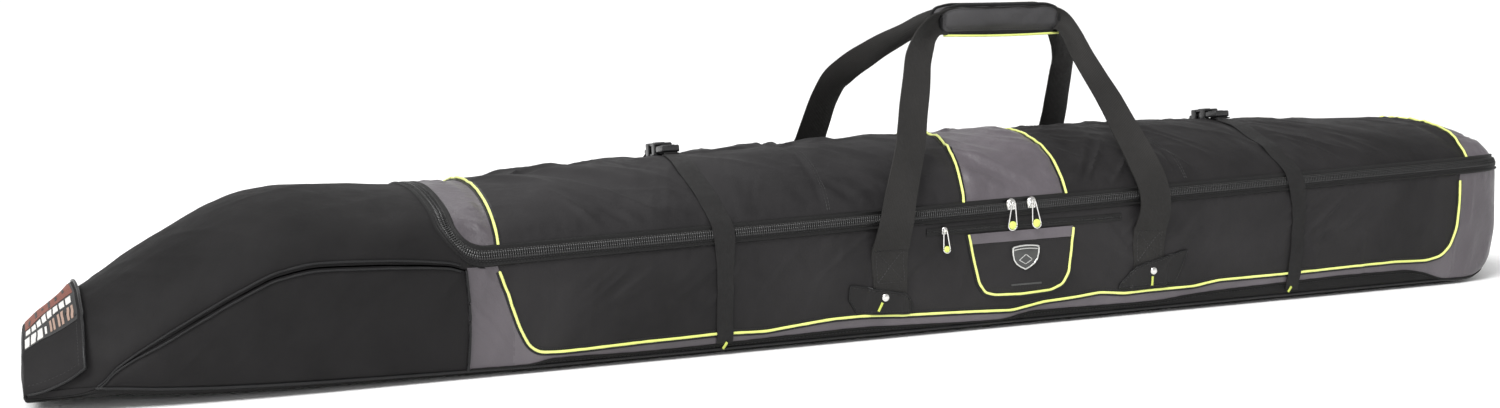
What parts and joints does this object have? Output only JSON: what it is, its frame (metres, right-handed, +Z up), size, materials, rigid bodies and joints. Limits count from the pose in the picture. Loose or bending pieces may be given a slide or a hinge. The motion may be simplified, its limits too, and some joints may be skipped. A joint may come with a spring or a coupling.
{
  "type": "ski bag",
  "caption": "Long soft ski bag with a tapered folded nose, a zipped fold-back lid, webbing carry handles joined by a padded grip, compression straps and a front pocket.",
  "frame": {"origin": "centre of the base underside, on the surface that the bag rests on", "axes": "+X along the bag towards the tail, -X towards the nose, -Y towards the front with the pocket, +Z up"},
  "size_m": [1.8784, 0.3202, 0.378],
  "materials": {
    "black_fabric": "woven polyester",
    "gray_fabric": "coated nylon with a soft sheen",
    "lime_piping": "woven piping",
    "black_piping": "covered piping cord",
    "webbing": "flat woven webbing",
    "zipper_tape": "zipper tape",
    "zipper_chain": "moulded coil",
    "foam": "closed-cell foam sheet",
    "buckle_plastic": "acetal",
    "metal": "nickel plated",
    "badge": "moulded rubber-like badge",
    "label": "woven label with plain bands",
    "hook_loop": "hook and loop"
  },
  "bodies": {
    "tub": {"bartacks": "lime_piping", "base_foam": "foam", "base_panel": "black_fabric", "base_piping": "black_piping", "compression_strap_front_1": "webbing", "compression_strap_front_2": "webbing", "compression_strap_rear_1": "webbing", "compression_strap_rear_2": "webbing", "front_accent_left": "gray_fabric", "front_accent_right": "gray_fabric", "front_accent_strip": "gray_fabric", "front_piping": "lime_piping", "front_wall_panel": "black_fabric", "handle_anchor_front": "webbing", "handle_anchor_rear": "webbing", "handle_patches": "black_fabric", "handle_rivets": "metal", "nose_front_panel": "black_fabric", "nose_loop_strip": "hook_loop", "nose_rear_panel": "black_fabric", "nose_seam_piping": "black_piping", "nose_tip_panel": "black_fabric", "nose_top_panel": "black_fabric", "pocket_accent": "gray_fabric", "pocket_badge": "badge", "pocket_panel": "black_fabric", "pocket_piping": "lime_piping", "pocket_zipper": "zipper_tape", "rear_wall_panel": "black_fabric", "side_foam": "foam", "tail_panel": "black_fabric", "zipper_chain_lower": "zipper_chain", "zipper_tape_lower": "zipper_tape"},
    "lid": {"buckle_female_1": "buckle_plastic", "buckle_female_2": "buckle_plastic", "lid_accent_center": "gray_fabric", "lid_accent_left": "gray_fabric", "lid_accent_right": "gray_fabric", "lid_foam": "foam", "lid_panel_left": "black_fabric", "lid_panel_right": "black_fabric", "lid_piping": "lime_piping", "zipper_chain_upper": "zipper_chain", "zipper_tape_upper": "zipper_tape"},
    "front_handle": {"front_handle_webbing": "webbing", "grip_pad_front": "black_fabric", "grip_piping": "lime_piping"},
    "rear_handle": {"rear_handle_webbing": "webbing", "grip_pad_rear": "black_fabric"},
    "slider_left": {"main_slider_left": "metal"},
    "slider_right": {"main_slider_right": "metal"},
    "puller_left": {"main_puller_left": "metal"},
    "puller_right": {"main_puller_right": "metal"},
    "pocket_slider": {"pocket_slider": "metal"},
    "pocket_puller": {"pocket_puller": "metal"},
    "nose_flap": {"nose_flap": "black_fabric", "flap_hook_strip": "hook_loop", "flap_label": "label"},
    "buckle_one": {"buckle_male_1": "buckle_plastic"},
    "buckle_two": {"buckle_male_2": "buckle_plastic"}
  },
  "joints": [
    {"name": "lid_hinge", "type": "hinge", "parent": "tub", "child": "lid", "pos_m": [0.01, 0.143, 0.1419], "axis": [-0.9998, 0, -0.0215], "range_deg": [0, 100], "deforming": ["compression_strap_front_1", "compression_strap_front_2", "compression_strap_rear_1", "compression_strap_rear_2"]},
    {"name": "front_handle_swing", "type": "hinge", "parent": "tub", "child": "front_handle", "pos_m": [0.182, -0.1458, 0.1074], "axis": [1, 0, 0], "range_deg": [0, 120]},
    {"name": "rear_handle_swing", "type": "hinge", "parent": "tub", "child": "rear_handle", "pos_m": [0.194, 0.1458, 0.1074], "axis": [-1, 0, 0], "range_deg": [0, 120]},
    {"name": "left_slider_travel", "type": "slide", "parent": "tub", "child": "slider_left", "axis": [-0.9998, 0, -0.0215], "range_m": [0, 0.59]},
    {"name": "right_slider_travel", "type": "slide", "parent": "tub", "child": "slider_right", "axis": [0.9998, 0, 0.0215], "range_m": [0, 0.657]},
    {"name": "left_puller_swing", "type": "hinge", "parent": "slider_left", "child": "puller_left", "pos_m": [0.163, -0.1501, 0.14919], "axis": [-1, 0, 0], "range_deg": [0, 100]},
    {"name": "right_puller_swing", "type": "hinge", "parent": "slider_right", "child": "puller_right", "pos_m": [0.191, -0.1501, 0.14979], "axis": [-1, 0, 0], "range_deg": [0, 100]},
    {"name": "pocket_slider_travel", "type": "slide", "parent": "tub", "child": "pocket_slider", "axis": [1, 0, 0.0055], "range_m": [0, 0.235]},
    {"name": "pocket_puller_swing", "type": "hinge", "parent": "pocket_slider", "child": "pocket_puller", "pos_m": [0.073, -0.147, 0.1221], "axis": [-1, 0, 0], "range_deg": [0, 90]},
    {"name": "nose_flap_fold", "type": "hinge", "parent": "tub", "child": "nose_flap", "pos_m": [-0.9325, 0, 0.012], "axis": [0, -1, 0], "range_deg": [0, 110]},
    {"name": "buckle_one_release", "type": "slide", "parent": "lid", "child": "buckle_one", "axis": [0, -0.9981, 0.061], "range_m": [0, 0.025]},
    {"name": "buckle_two_release", "type": "slide", "parent": "lid", "child": "buckle_two", "axis": [0, -0.9981, 0.061], "range_m": [0, 0.025]}
  ],
  "couplings": [
    {"joint": "front_handle_swing", "follows": "lid_hinge", "ratio": 1.199},
    {"joint": "rear_handle_swing", "follows": "lid_hinge", "ratio": 1.199},
    {"joint": "left_slider_travel", "follows": "lid_hinge", "m_per_rad": 0.338},
    {"joint": "right_slider_travel", "follows": "lid_hinge", "m_per_rad": 0.3764}
  ]
}
